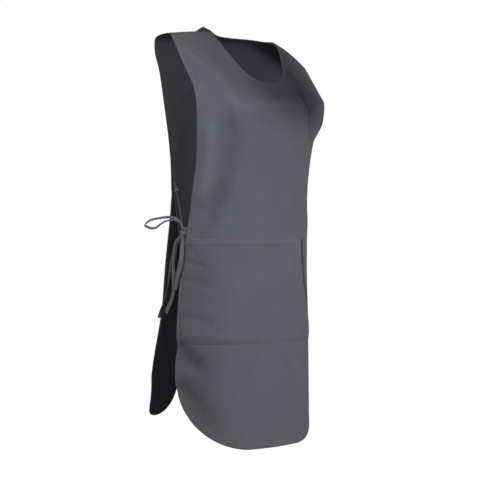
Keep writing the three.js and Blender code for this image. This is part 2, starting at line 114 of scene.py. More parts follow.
# Ties
TAPE_WIDTH = 10.0
TAPE_WALL = 1.2
TIE_SEWN = 12.0
TIE_SEAT_GAP = 0.7
FRONT_TIE_DOWN = 430.0
BACK_TIE_DOWN = 346.0
KNOT_OUT = 5.0
KNOT_BACK = 7.0
KNOT_DROP = 7.0
KNOT_HEIGHT = 6.0
CORE_WIDTH = 6.0
CORE_WALL = 2.4
CORE_GAP = 1.0
CORE_OVERHANG = 3.5
SIDE_LOOP_REACH = 72.0
HANG_LOOP_DROP = 111.0
FRONT_TAIL_DROP = 155.0
BACK_TAIL_DROP = 165.0
TIE_PAST_EDGE = 3.0
SEAT_INSIDE = 1.5
FRONT_LEAD_UP = 1.0

# How the tapes lie: where a lead turns, how they gather at the knot, twist, ripple and cup
TURN_STARTS = TIE_SEWN + 4.0
TURN_ENDS = TIE_SEWN + 40.0
GATHER_LENGTH = 20.0
GATHERED = 0.34
PLEAT = 1.1
TWIST = 0.22
TWIST_LENGTH = 17.0
RIPPLE = 0.35
RIPPLE_LENGTH = 5.5
CUP = 0.5
CUP_LEVEL = 0.4
TAPE_SQUARENESS = 8
TAPE_THINNEST = 0.1
LOOP_CURLED = 0.58
TAIL_CURLED = 0.72

# The lump of the knot: its size, its winding band and its small pleats
LUMP_RADIUS = 6.1
LUMP_SQUARENESS = 0.62
LUMP_OVERHANG = 2.6
LUMP_TILT = 0.5
LUMP_TILT_TURN = 0.5
LUMP_AROUND = 7.0
LUMP_UP = 8.0
BAND_SWELL = 0.55
BAND_SHARPNESS = 2.6
BAND_WINDING = 2.0
BAND_START = 0.6
LUMP_PLEAT = 0.10
LUMP_PLEATS = 9
LUMP_PLEAT_LEAN = 1.5

# Weave and sewing of the cloth, in millimetres. A cell is the size of one patch of noise. The wale is
# drawn coarser than a real one, about 0.6 mm, which would fall between pixels, and so is the yarn.
TWILL_WALE = 1.4
TAPE_WALE = 1.2
WALE_LEAN = 0.62
YARN_CELL = (0.7143, 3.846, METRE)
PATCH_CELL = (62.5, 62.5, METRE)
CRUMPLE_CELL = (29.41, 29.41, METRE)
PUCKER_CELL = (9.09, 25.0, METRE)
LINE_SOFTNESS = 0.2
DASH_SLOPE = 0.8
DASH_COVER = 0.7
PULL_WIDTH = 1.6
TAPE_STITCH = 1.6
# The width of the painted light along a seam line
SEAM_PAINTED_LIGHT_WIDTH = 2.0
# The valley depth and ridge height at which the folds' painted shade and painted light are full
FOLD_SHADE_VALLEY = -8.0
FOLD_SHADE_RIDGE = 6.0
HEM_STEP_INSIDE = 0.6
HEM_STEP_OUTSIDE = 0.2

# Sections of half a panel, level by level: the place down the cloth, then the height lost, the depth
# at the middle, where the section turns, the half width and depth at the side edge, and how square
# the turn is. Lengths down are shares of the panel's length, across of its half width there, and
# forward of its depth.
FRONT_SECTIONS = np.array([
    [0.000, 0.000, 0.00, 0.370, 1.000, 0.00, 0.60],
    [0.022, 0.005, 0.17, 0.370, 1.000, 0.06, 0.60],
    [0.053, 0.024, 0.34, 0.390, 0.998, 0.13, 0.60],
    [0.094, 0.056, 0.52, 0.420, 0.988, 0.25, 0.62],
    [0.147, 0.106, 0.76, 0.496, 0.978, 0.46, 0.66],
    [0.176, 0.132, 0.86, 0.554, 0.966, 0.56, 0.72],
    [0.214, 0.168, 0.92, 0.621, 0.950, 0.61, 0.80],
    [0.282, 0.235, 0.93, 0.662, 0.908, 0.55, 0.82],
    [0.341, 0.294, 0.90, 0.675, 0.865, 0.45, 0.82],
    [0.412, 0.365, 0.86, 0.688, 0.860, 0.34, 0.80],
    [0.506, 0.459, 0.86, 0.702, 0.875, 0.20, 0.80],
    [0.588, 0.541, 0.90, 0.707, 0.905, 0.09, 0.80],
    [0.706, 0.659, 0.95, 0.723, 0.943, 0.03, 0.80],
    [0.824, 0.777, 0.98, 0.735, 0.971, 0.01, 0.78],
    [1.000, 0.953, 1.00, 0.750, 1.000, 0.00, 0.78],
])
BACK_SECTIONS = np.array([
    [0.000, 0.000, 0.00, 0.373, 1.000, 0.00, 0.60],
    [0.027, 0.004, 0.18, 0.373, 1.000, 0.21, 0.60],
    [0.052, 0.012, 0.34, 0.393, 1.000, 0.33, 0.60],
    [0.093, 0.045, 0.51, 0.449, 0.990, 0.38, 0.60],
    [0.149, 0.097, 0.64, 0.515, 0.967, 0.32, 0.62],
    [0.223, 0.170, 0.73, 0.565, 0.902, 0.34, 0.66],
    [0.310, 0.256, 0.76, 0.608, 0.829, 0.36, 0.70],
    [0.372, 0.318, 0.76, 0.640, 0.820, 0.31, 0.74],
    [0.459, 0.404, 0.78, 0.674, 0.843, 0.21, 0.78],
    [0.552, 0.496, 0.88, 0.729, 0.881, 0.05, 0.82],
    [0.620, 0.564, 0.93, 0.764, 0.897, -0.02, 0.84],
    [0.744, 0.686, 0.99, 0.814, 0.925, -0.03, 0.85],
    [0.868, 0.806, 1.17, 0.866, 0.954, -0.02, 0.86],
    [1.000, 0.938, 1.32, 0.920, 0.980, 0.00, 0.86],
])

# Folds, one to a row: from across and down, to across and down, width and height. across is a share
# of the half section, down of the length, width and height of the depth. A valley is negative.
FRONT_FOLDS = np.array([
    [-0.90, 0.070, -0.46, 0.228, 0.16, 0.040],
    [-0.46, 0.228, 0.50, 0.215, 0.20, 0.045],
    [-0.53, 0.240, -0.42, 0.300, 0.15, -0.040],
    [-0.42, 0.300, -0.50, 0.378, 0.17, -0.050],
    [-0.50, 0.378, -0.69, 0.482, 0.17, -0.045],
    [-0.69, 0.482, -0.84, 0.515, 0.14, -0.030],
    [0.52, 0.120, 0.54, 0.213, 0.14, -0.040],
    [0.55, 0.217, 0.64, 0.290, 0.15, -0.050],
    [0.99, 0.205, 0.99, 0.245, 0.20, 0.060],
    [0.97, 0.315, 0.94, 0.385, 0.24, -0.065],
    [0.80, 0.490, 0.82, 0.980, 0.32, 0.040],
    [-0.96, 0.767, -0.70, 0.842, 0.14, -0.035],
    [-0.92, 0.862, -0.66, 0.952, 0.16, -0.040],
])
BACK_FOLDS = np.array([
    [-0.34, 0.018, -0.52, 0.006, 0.14, 0.060],
    [-0.36, 0.300, -0.42, 0.900, 0.24, 0.050],
    [0.10, 0.380, 0.06, 0.960, 0.22, -0.040],
    [0.48, 0.320, 0.55, 0.900, 0.24, 0.050],
])

# Small wrinkles that only the looks have, in the same columns. The first three level out the places
# where two folds above meet and would count twice, and two near the hem shorten the folds there.
FRONT_WRINKLES = np.array([
    [-0.420, 0.300, -0.421, 0.302, 0.160, 0.040],
    [-0.500, 0.378, -0.501, 0.380, 0.170, 0.045],
    [-0.690, 0.482, -0.691, 0.484, 0.150, 0.030],
    [-0.53, 0.285, -0.53, 0.358, 0.260, -0.050],
    [-0.59, 0.415, -0.72, 0.462, 0.240, -0.046],
    [-0.84, 0.290, -0.88, 0.425, 0.180, 0.062],
    [-0.18, 0.223, 0.62, 0.217, 0.055, 0.032],
    [0.05, 0.197, 0.60, 0.190, 0.090, -0.028],
    [0.52, 0.122, 0.86, 0.190, 0.050, -0.024],
    [0.62, 0.060, 0.90, 0.130, 0.070, 0.016],
    [0.20, 0.240, 0.36, 0.290, 0.120, -0.012],
    [-0.98, 0.367, -0.83, 0.362, 0.050, -0.008],
    [-0.97, 0.545, -0.88, 0.556, 0.070, -0.014],
    [-0.93, 0.577, -0.78, 0.586, 0.050, -0.015],
    [-0.99, 0.612, -0.70, 0.632, 0.080, -0.016],
    [-0.96, 0.700, -0.70, 0.712, 0.090, -0.014],
    [-0.90, 0.066, -0.68, 0.140, 0.055, -0.022],
    [-0.30, 0.250, 0.10, 0.262, 0.070, -0.008],
    [0.20, 0.330, 0.45, 0.300, 0.070, -0.008],
    [-1.00, 0.772, -0.84, 0.806, 0.130, -0.045],
    [-0.73, 0.833, -0.69, 0.848, 0.130, 0.024],
    [-0.71, 0.935, -0.66, 0.954, 0.150, 0.030],
    [-0.95, 0.862, -0.84, 0.885, 0.080, -0.016],
    [-0.20, 0.760, -0.35, 0.850, 0.080, -0.008],
    [0.10, 0.800, 0.22, 0.900, 0.080, -0.010],
    [0.50, 0.760, 0.62, 0.880, 0.080, -0.010],
])
BACK_WRINKLES = np.array([
    [-0.37, 0.021, -0.49, 0.018, 0.100, 0.050],
    [-0.70, 0.240, -0.30, 0.180, 0.060, -0.012],
    [0.30, 0.180, 0.72, 0.250, 0.060, -0.012],
    [-0.90, 0.440, -0.60, 0.470, 0.060, -0.012],
    [0.60, 0.470, 0.90, 0.440, 0.060, -0.012],
    [-0.15, 0.560, 0.30, 0.575, 0.070, -0.010],
])

# The two panels: which way each faces, its length down the cloth, half width at the hem and depth, how
# far its neck drops and how square the scoop is, the share of the top edge's columns in each strap, how
# far in and up its hem corners start and the share of the hem's columns in them, how much its hem rises
# at the middle and leans towards the left, and two levels across, the pocket's on the front.
FRONT_LENGTH = 855.0
BACK_LENGTH = 806.0
front = {
    "facing": -1,
    "length": FRONT_LENGTH,
    "hem_half": 175.0,
    "depth": 105.0,
    "neck_drop": 140.0,
    "neck_squareness": 0.91,
    "strap_share": 1 / 6,
    "corner_across": 156.0,
    "corner_up": 150.0,
    "corner_share": 14 / 18,
    "hem_rise": 0.0,
    "hem_tilt": 7.0,
    "sections": FRONT_SECTIONS,
    "folds": np.concatenate([FRONT_FOLDS, FRONT_WRINKLES]),
    "levels": (FRONT_LENGTH - POCKET_RISE - POCKET_DEPTH, FRONT_LENGTH - POCKET_RISE),
}
back = {
    "facing": 1,
    "length": BACK_LENGTH,
    "hem_half": 168.0,
    "depth": 112.0,
    "neck_drop": 27.0,
    "neck_squareness": 0.75,
    "strap_share": 1 / 4,
    "corner_across": 85.0,
    "corner_up": 90.0,
    "corner_share": 1 / 2,
    "hem_rise": 66.0,
    "hem_tilt": 0.0,
    "sections": BACK_SECTIONS,
    "folds": np.concatenate([BACK_FOLDS, BACK_WRINKLES]),
    "levels": (0.53 * BACK_LENGTH, 0.77 * BACK_LENGTH),
}

# Tape routes from the knot: outwards, backwards and upwards, as shares of the tape's own reach
SIDE_LOOP_ROUTE = np.array([
    [0.03, 0.07, 0.29], [0.10, 0.18, 0.40], [0.19, 0.32, 0.42], [0.35, 0.50, 0.40],
    [0.56, 0.66, 0.34], [0.71, 0.71, 0.21], [0.68, 0.58, 0.13], [0.59, 0.44, 0.13],
    [0.49, 0.36, 0.22], [0.36, 0.26, 0.31], [0.21, 0.15, 0.35], [0.07, 0.07, 0.29],
    [-0.01, 0.05, 0.17],
])
HANG_LOOP_ROUTE = np.array([
    [0.08, 0.08, -0.18], [0.08, 0.12, -0.35], [0.09, 0.14, -0.52], [0.09, 0.13, -0.70],
    [0.09, 0.12, -0.90], [0.08, 0.11, -1.00], [0.08, 0.09, -0.93], [0.08, 0.06, -0.80],
    [0.08, -0.01, -0.58], [0.08, -0.06, -0.35], [0.06, -0.06, -0.17],
])
FRONT_TAIL_ROUTE = np.array([
    [0.03, -0.02, -0.14], [0.05, -0.02, -0.35], [0.05, 0.04, -0.55], [0.05, 0.10, -0.68],
    [0.05, 0.16, -0.84], [0.06, 0.20, -0.92], [0.06, 0.25, -1.00],
])
BACK_TAIL_ROUTE = np.array([
    [0.00, 0.09, -0.09], [0.01, 0.14, -0.18], [0.01, 0.18, -0.35], [0.02, 0.22, -0.58],
    [0.03, 0.27, -0.76], [0.03, 0.33, -0.89], [0.03, 0.38, -1.00],
])

# Fineness of the surfaces
STRAP_COLUMNS = 34
NECK_COLUMNS = 108
ZONE_ROWS = (124, 52, 60)
ROW_CROWDING = 1.15
EVEN_SHARE = 0.55
POCKET_COLUMNS = 150
POCKET_ROWS = 90
TAPE_COLUMNS = 13
TAPE_STEP = 1.5
TAPE_FEWEST = 8
LUMP_COLUMNS = 72
LUMP_ROWS = 40
LUMP_POLE = 0.06
SAMPLE_STEP = 0.004
SEAM_BLEND = 10.0
SECTION_SAMPLES = 61
NECK_SAMPLES = 2001
ROUTE_SAMPLES = 800
FLAT_STEPS = 16
LINE_STEP = 0.8
LINE_GAP = 50.0
CHUNK = 2000


def smooth_at(places, values, at):
    """A smooth curve through rows of values at uneven places, at any array of places. Each piece is a
    cubic whose slope at a row is the mean of the slopes on its two sides, weighted by the other span."""
    at = np.asarray(at, float)
    spans = np.diff(places)[:, None]
    slopes = np.diff(values, axis=0) / spans
    middle = (slopes[:-1] * spans[1:] + slopes[1:] * spans[:-1]) / (spans[:-1] + spans[1:])
    tangents = np.concatenate([slopes[:1], middle, slopes[-1:]])
    k = np.clip(np.searchsorted(places, at, side="left") - 1, 0, len(places) - 2)
    span = spans[k]
    t = (at - places[k])[..., None] / span
    start = (1 + 2 * t) * (1 - t) ** 2 * values[k] + t * (1 - t) ** 2 * span * tangents[k]
    stop = t * t * (3 - 2 * t) * values[k + 1] + t * t * (t - 1) * span * tangents[k + 1]
    return start + stop


def lerp(start, stop, share):
    """The value a share of the way from start to stop."""
    return start + (stop - start) * share


def smoothstep(start, stop, value):
    """A share that eases from 0 at start to 1 at stop."""
    t = np.clip((value - start) / (stop - start), 0, 1)
    return t * t * (3 - 2 * t)


def unit(vectors):
    """The vectors at length 1."""
    return vectors / np.maximum(np.linalg.norm(vectors, axis=-1, keepdims=True), 1e-9)


def plain_point(panel, across, down):
    """The middle of a panel's cloth before its folds. Each level is a cubic curve from the middle,
    square to it, round the turn to the side edge; the straps lean down towards their outer ends."""
    at = down / panel["length"]
    half = lerp(SHOULDER_HALF, panel["hem_half"], at)
    sections = panel["sections"]
    values = np.moveaxis(smooth_at(sections[:, 0], sections[:, 1:], at), -1, 0)
    fall, reach, corner, out, forward, fullness = values
    share = np.abs(across)
    weights = ((1 - share) ** 3, 3 * share * (1 - share) ** 2, 3 * share**2 * (1 - share), share**3)
    depth = panel["depth"]
    edge_x = out * half
    turn_x = corner * half
    turn_y = reach * depth
    edge_y = forward * depth
    x = weights[1] * fullness * turn_x + weights[2] * lerp(edge_x, turn_x, fullness) + weights[3] * edge_x
    y = (weights[0] + weights[1]) * turn_y + weights[2] * lerp(edge_y, turn_y, fullness)
    y = y + weights[3] * edge_y
    leaning = np.maximum(0, (x - SLOPE_START) / (SHOULDER_HALF - SLOPE_START)) ** SLOPE_POWER
    slope = np.where(across < 0, RIGHT_SLOPE, LEFT_SLOPE)
    lean = slope * leaning * np.maximum(0, 1 - down / SLOPE_REACH)
    z = CLOTH_WALL / 2 - fall * panel["length"] - lean
    return np.stack([np.sign(across) * x, panel["facing"] * y, z], axis=-1)


def outward(panel, across, down):
    """The outward direction of a panel's cloth: the cross product of a step across and a step down,
    turned level towards the shoulder seam."""
    side_step = plain_point(panel, np.minimum(1, across + SAMPLE_STEP), down) - plain_point(
        panel, np.maximum(-1, across - SAMPLE_STEP), down
    )
    down_step = plain_point(panel, across, np.minimum(panel["length"], down + 1)) - plain_point(
        panel, across, np.maximum(0, down - 1)
    )
    normal = np.cross(side_step, down_step) * panel["facing"]
    normal[..., 1] *= smoothstep(0, SEAM_BLEND, down)
    return unit(normal)


def fold_lift(panel, across, down):
    """How far the folds lift the cloth: for each fold its height times e to the minus square of the
    distance to its line, counted in its widths. They die out at the shoulder seam."""
    half, length, depth = panel["hem_half"], panel["length"], panel["depth"]
    place = np.stack([across * half, down], axis=-1)
    lift = np.zeros_like(across)
    for from_across, from_down, to_across, to_down, width, height in panel["folds"]:
        start = np.array([from_across * half, from_down * length])
        run = np.array([to_across * half, to_down * length]) - start
        share = np.clip((place - start) @ run / (run @ run), 0, 1)
        away = np.linalg.norm(place - start - share[..., None] * run, axis=-1) / (width * depth)
        lift += height * depth * np.exp(-(away**2))
    return lift * smoothstep(0, SEAM_BLEND, down)


def cloth_point(panel, across, down, height):
    """A point at a height over the middle of a panel's cloth, folds included."""
    across, down = np.broadcast_arrays(np.asarray(across, float), np.asarray(down, float))
    lift = fold_lift(panel, across, down) + height
    return plain_point(panel, across, down) + outward(panel, across, down) * lift[..., None]


def share_from_edge(panel, down, inward):
    """The share across at a length measured in from the side edge along the section at a level."""
    shares = np.linspace(1, 0, SECTION_SAMPLES)
    points = plain_point(panel, shares, np.full(SECTION_SAMPLES, down))
    lengths = np.concatenate([[0], np.cumsum(np.linalg.norm(np.diff(points, axis=0), axis=1))])
    return np.interp(inward, lengths, shares)


def neck_share(panel):
    """The share across of the inner end of a shoulder seam."""
    shares = np.linspace(0, 1, NECK_SAMPLES)
    return np.interp(NECK_HALF, plain_point(panel, shares, np.zeros(NECK_SAMPLES))[:, 0], shares)


def eased(count):
    """Shares from 0 to 1 that lie closer together near both ends."""
    even = np.linspace(0, 1, count + 1)
    return EVEN_SHARE * even + (1 - EVEN_SHARE) * (1 - np.cos(math.pi * even)) / 2


def panel_places(panel):
    """The places of a panel's surface: columns ruled from its top edge, which runs along a seam, round
    the scoop neck and along the other seam, down to two level lines and on to the rounded hem."""
    strap = panel["strap_share"]
    ends = eased(STRAP_COLUMNS)
    scoop = lerp(strap, 1 - strap, eased(NECK_COLUMNS))
    columns = np.concatenate([strap * ends, scoop[1:], (1 - strap + strap * ends)[1:]])
    share = neck_share(panel)
    angle = math.pi * (1 - np.clip((columns - strap) / (1 - 2 * strap), 0, 1))
    swing = np.cos(angle)
    neck_across = share * np.sign(swing) * np.abs(swing) ** panel["neck_squareness"]
    right_seam = lerp(-1, -share, columns / strap)
    left_seam = lerp(1, share, (1 - columns) / strap)
    top_across = np.where(columns >= 1 - strap, left_seam, neck_across)
    top_across = np.where(columns <= strap, right_seam, top_across)
    on_neck = (columns > strap) & (columns < 1 - strap)
    top_down = np.where(on_neck, panel["neck_drop"] * np.sin(angle), 0)

    corner_top = panel["length"] - panel["corner_up"]
    inward_share = np.minimum(columns, 1 - columns) * 2
    turn = math.pi / 2 * np.minimum(1, inward_share / panel["corner_share"])
    turned = share_from_edge(panel, corner_top, panel["corner_across"] * (1 - np.cos(turn)))
    rest = np.maximum(0, (inward_share - panel["corner_share"]) / (1 - panel["corner_share"]))
    hem_across = np.where(columns < 0.5, -1, 1) * turned * (1 - rest)
    hem_down = corner_top + panel["corner_up"] * np.sin(turn) - panel["hem_rise"] * smoothstep(0, 1, rest)
    hem_down = hem_down - panel["hem_tilt"] * np.maximum(0, hem_across)

    level = 2 * columns - 1
    across_lines = [top_across, level, level, hem_across]
    upper, lower = (np.full_like(level, place) for place in panel["levels"])
    down_lines = [top_down, upper, lower, hem_down]
    across, down = [top_across[None]], [top_down[None]]
    for zone, count in enumerate(ZONE_ROWS):
        even = np.linspace(0, 1, count + 1)[1:]
        steps = (even**ROW_CROWDING, even, 1 - (1 - even) ** ROW_CROWDING)[zone][:, None]
        across.append(lerp(across_lines[zone], across_lines[zone + 1], steps))
        down.append(lerp(down_lines[zone], down_lines[zone + 1], steps))
    return np.concatenate(across), np.concatenate(down), on_neck


def spread_out(panel, across, down):
    """The places laid flat, in millimetres: the length along the section from the middle, and down."""
    total = np.zeros_like(across)
    before = plain_point(panel, 0 * across, down)
    for k in range(1, FLAT_STEPS + 1):
        here = plain_point(panel, across * k / FLAT_STEPS, down)
        total += np.linalg.norm(here - before, axis=-1)
        before = here
    return np.stack([np.sign(across) * total, -down], axis=-1)


def along(line):
    """The running length at each point of a line."""
    return np.concatenate([[0], np.cumsum(np.linalg.norm(np.diff(line, axis=0), axis=1))])


def nearest(points, lines):
    """The distance from each point to the nearest of some lines, and the running length there."""
    flat = points.reshape(-1, 3)
    fine, runs, offset = [], [], 0.0
    for line in lines:
        run = along(line)
        steps = np.linspace(0, run[-1], int(run[-1] / LINE_STEP) + 2)
        fine.append(np.stack([np.interp(steps, run, line[:, k]) for k in range(3)], axis=1))
        runs.append(steps + offset)
        offset += run[-1] + LINE_GAP
    fine, runs = np.concatenate(fine), np.concatenate(runs)
    size = (fine**2).sum(axis=1)
    distance, running = np.empty(len(flat)), np.empty(len(flat))
    for start in range(0, len(flat), CHUNK):
        part = flat[start : start + CHUNK]
        square = (part**2).sum(axis=1)[:, None] + size - 2 * part @ fine.T
        k = square.argmin(axis=1)
        distance[start : start + CHUNK] = np.sqrt(np.maximum(0, square[np.arange(len(part)), k]))
        running[start : start + CHUNK] = runs[k]
    return distance.reshape(points.shape[:-1]), running.reshape(points.shape[:-1])


def shell(outer, inner):
    """Points and faces of a closed body between an outer and an inner grid, with a rim round it."""
    rows, columns = outer.shape[:2]
    over = np.arange(rows * columns).reshape(rows, columns)
    under = over + rows * columns
    rim = np.concatenate([over[0, :-1], over[:-1, -1], over[-1, :0:-1], over[:0:-1, 0]])
    ahead = np.roll(rim, -1)
    below = rim + rows * columns
    quads = np.concatenate([
        np.stack([over[:-1, :-1], over[1:, :-1], over[1:, 1:], over[:-1, 1:]], axis=-1).reshape(-1, 4),
        np.stack([under[:-1, :-1], under[:-1, 1:], under[1:, 1:], under[1:, :-1]], axis=-1).reshape(-1, 4),
        np.stack([rim, ahead, ahead + rows * columns, below], axis=-1),
    ])
    return np.concatenate([outer.reshape(-1, 3), inner.reshape(-1, 3)]), quads


def rim_size(grid):
    """The number of faces in the rim round a grid."""
    return 2 * (grid.shape[0] + grid.shape[1] - 2)


def cloth_object(name, points, quads, flat, lengths, material, rim=0):
    """A smooth mesh object from points in millimetres. flat is the place of each point in the cloth laid
    flat, and lengths are named lengths at each point, both in millimetres too. The last faces, as many as
    rim says, are the flat cut edge."""
    first, second, third = (points[quads[:, k]] for k in range(3))
    fourth = points[quads[:, 3]]
    volume = np.einsum("ij,ij->", first, np.cross(second, third) + np.cross(third, fourth))
    if volume < 0:
        quads = quads[:, ::-1]
    mesh = bpy.data.meshes.new(name)
    mesh.from_pydata((points * MILLIMETRE).tolist(), [], quads.tolist())
    mesh.polygons.foreach_set("use_smooth", np.arange(len(quads)) < len(quads) - rim)
    layer = mesh.uv_layers.new(name="cloth")
    layer.data.foreach_set("uv", (flat[quads.ravel()] * MILLIMETRE).astype(np.float32).ravel())
    for label, values in lengths.items():
        attribute = mesh.attributes.new(label, "FLOAT", "POINT")
        attribute.data.foreach_set("value", (values * MILLIMETRE).astype(np.float32).ravel())
    mesh.materials.append(material)
    made = bpy.data.objects.new(name, mesh)
    bpy.context.scene.collection.objects.link(made)
    return made


def sheet_lengths(edge, run, seam, divider, slit, fold):
    """The named lengths of a sheet, for its outer and its inner grid. A fold that rises on the outside is
    a valley on the inside, so its sign turns."""
    both = {"edge": edge, "run": run, "seam": seam, "divider": divider, "slit": slit}
    lengths = {label: np.concatenate([values.ravel(), values.ravel()]) for label, values in both.items()}
    lengths["fold"] = np.concatenate([fold.ravel(), -fold.ravel()])
    return lengths


def hem_profile(distance):
    """Half the wall at a distance from a hemmed edge: the folded hem is thicker, and its edge is round."""
    hem = 1 - smoothstep(HEM_STITCH, HEM_WIDTH + HEM_FADE, distance)
    inward = np.clip(distance / EDGE_ROUND, 0, 1)
    round_edge = np.sqrt(np.clip(1 - (1 - inward) ** 2, EDGE_THINNEST, 1))
    return (CLOTH_WALL / 2 + HEM_EXTRA * hem) * round_edge


def panel_object(name, panel, material):
    """A panel: a thin wall of cloth over its places, hemmed round the neck, the armholes and the hem,
    and turned in at the shoulder seams."""
    across, down, on_neck = panel_places(panel)
    middle = cloth_point(panel, across, down, 0)
    first, last = np.flatnonzero(on_neck)[[0, -1]]
    outline = np.concatenate([middle[:, 0], middle[-1, 1:], middle[-2::-1, -1]])
    edge, run = nearest(middle, [outline, middle[0, first - 1 : last + 2]])
    seam, seam_run = nearest(middle, [middle[0, :first], middle[0, last + 1 :]])
    run = np.where(seam < edge, seam_run, run)
    wall = hem_profile(edge)
    dip = SEAM_DIP * np.exp(-((seam / SEAM_DIP_WIDTH) ** 2))
    outer = cloth_point(panel, across, down, wall - dip)
    inner = cloth_point(panel, across, down, -wall - dip)
    points, quads = shell(outer, inner)
    flat = spread_out(panel, across, down).reshape(-1, 2)
    flat = np.concatenate([flat, flat])
    far = np.full_like(edge, FAR_AWAY)
    # On the front, the distance past the strip the pocket hides, for the painted shade of the slit
    slit = far
    if panel is front:
        from_pocket = nearest(middle, [pocket_left_edge()[2]])[0]
        top, bottom = panel["levels"]
        hidden = lerp(SLIT_HIDDEN, SLIT_HIDDEN_LOW, np.clip((down - top) / (bottom - top), 0, 1))
        beside = (down >= top) & (down <= bottom)
        slit = np.where(beside, np.maximum(0, from_pocket - hidden), FAR_AWAY)
    lengths = sheet_lengths(edge, run, seam, far, slit, fold_lift(panel, across, down))
    return cloth_object(name, points, quads, flat, lengths, material, rim_size(edge))


def pocket_left_edge():
    """The shares down the pocket, the shares across of its left edge there, and the points of that edge."""
    top, bottom = front["levels"]
    fall = eased(POCKET_ROWS)
    left_top = share_from_edge(front, top, POCKET_LEFT_TOP)
    left_bottom = share_from_edge(front, bottom, POCKET_LEFT_BOTTOM)
    left = lerp(left_top, left_bottom, fall**POCKET_LEFT_CURVE)
    return fall, left, cloth_point(front, left, lerp(top, bottom, fall), 0)


def pocket_object(name, material):
    """The pocket: a second wall over the front, from its side edge to a left edge that runs down in a
    curve. It stands off the front most at its open edges, sinks at its seams and its divider, and puffs
    out over the near side's bottom seam as e to the minus square of the height from the puff's middle."""
    top, bottom = front["levels"]
    side = share_from_edge(front, top, POCKET_SIDE_INSET)
    fall, left, _ = pocket_left_edge()
    fall, left = fall[:, None], left[:, None]
    across = lerp(-side, left, eased(POCKET_COLUMNS)[None])
    down = lerp(top, bottom, fall) + 0 * across
    divider_across = lerp(DIVIDER_TOP, DIVIDER_BOTTOM, fall**DIVIDER_CURVE)
    middle = cloth_point(front, across, down, 0)
    edge, run = nearest(middle, [np.concatenate([middle[0], middle[1:, -1]])])
    seam, seam_run = nearest(middle, [np.concatenate([middle[:, 0], middle[-1, 1:]])])
    flat = spread_out(front, across, down)
    divider = flat[..., 0] - spread_out(front, divider_across + 0 * across, down)[..., 0]
    run = np.where(seam < edge, seam_run, run)
    run = np.where(np.abs(divider) < np.minimum(edge, seam), down, run)
    thinner = lerp(POCKET_EDGE_THINNER, 1, smoothstep(0, POCKET_EDGE_WIDTH, seam))
    wall = hem_profile(edge) * thinner * POCKET_THINNER
    stand_off = CLOTH_WALL / 2 + POCKET_SEAM_GAP + CLOTH_WALL / 2
    from_side = (across + side) / POCKET_EASE_SIDE
    from_seams = np.minimum(1, np.minimum(np.abs(across) / POCKET_EASE_ACROSS, from_side))
    near = smoothstep(NEAR_BEGINS, NEAR_FULL, across)
    ease = POCKET_EASE * from_seams * (1 - fall) ** POCKET_EASE_POWER * lerp(FAR_EASE, 1, near)
    at_divider = lerp(PUFF_AT_DIVIDER, 1, smoothstep(0, PUFF_FROM_DIVIDER, np.abs(divider)))
    puff = PUFF * np.exp(-(((bottom - down - PUFF_UP) / PUFF_WIDTH) ** 2)) * near
    puff = puff * smoothstep(0, PUFF_WIDTH, seam) * at_divider
    sunk = 1 - smoothstep(0, lerp(SEAM_SUNK_FAR, SEAM_SUNK_NEAR, near), seam)
    sunk = np.minimum(1, sunk + np.exp(-((divider / DIVIDER_SUNK_WIDTH) ** 2)))
    lift = stand_off - SEAM_SUNK * sunk - FAR_SUNK * (1 - near) + ease + puff
    outer = cloth_point(front, across, down, lift + wall)
    inner = cloth_point(front, across, down, np.maximum(lift - wall, CLOTH_WALL / 2 + POCKET_CLEAR))
    points, quads = shell(outer, inner)
    flat = flat.reshape(-1, 2)
    flat = np.concatenate([flat, flat])
    # On the pocket, a stretched distance from its left edge, so the slit's painted shade is narrower there
    slit = SLIT_SHADE / SLIT_SHADE_ON_POCKET * nearest(middle, [middle[:, -1]])[0]
    lengths = sheet_lengths(edge, run, seam, divider, slit, fold_lift(front, across, down))
    return cloth_object(name, points, quads, flat, lengths, material, rim_size(edge))


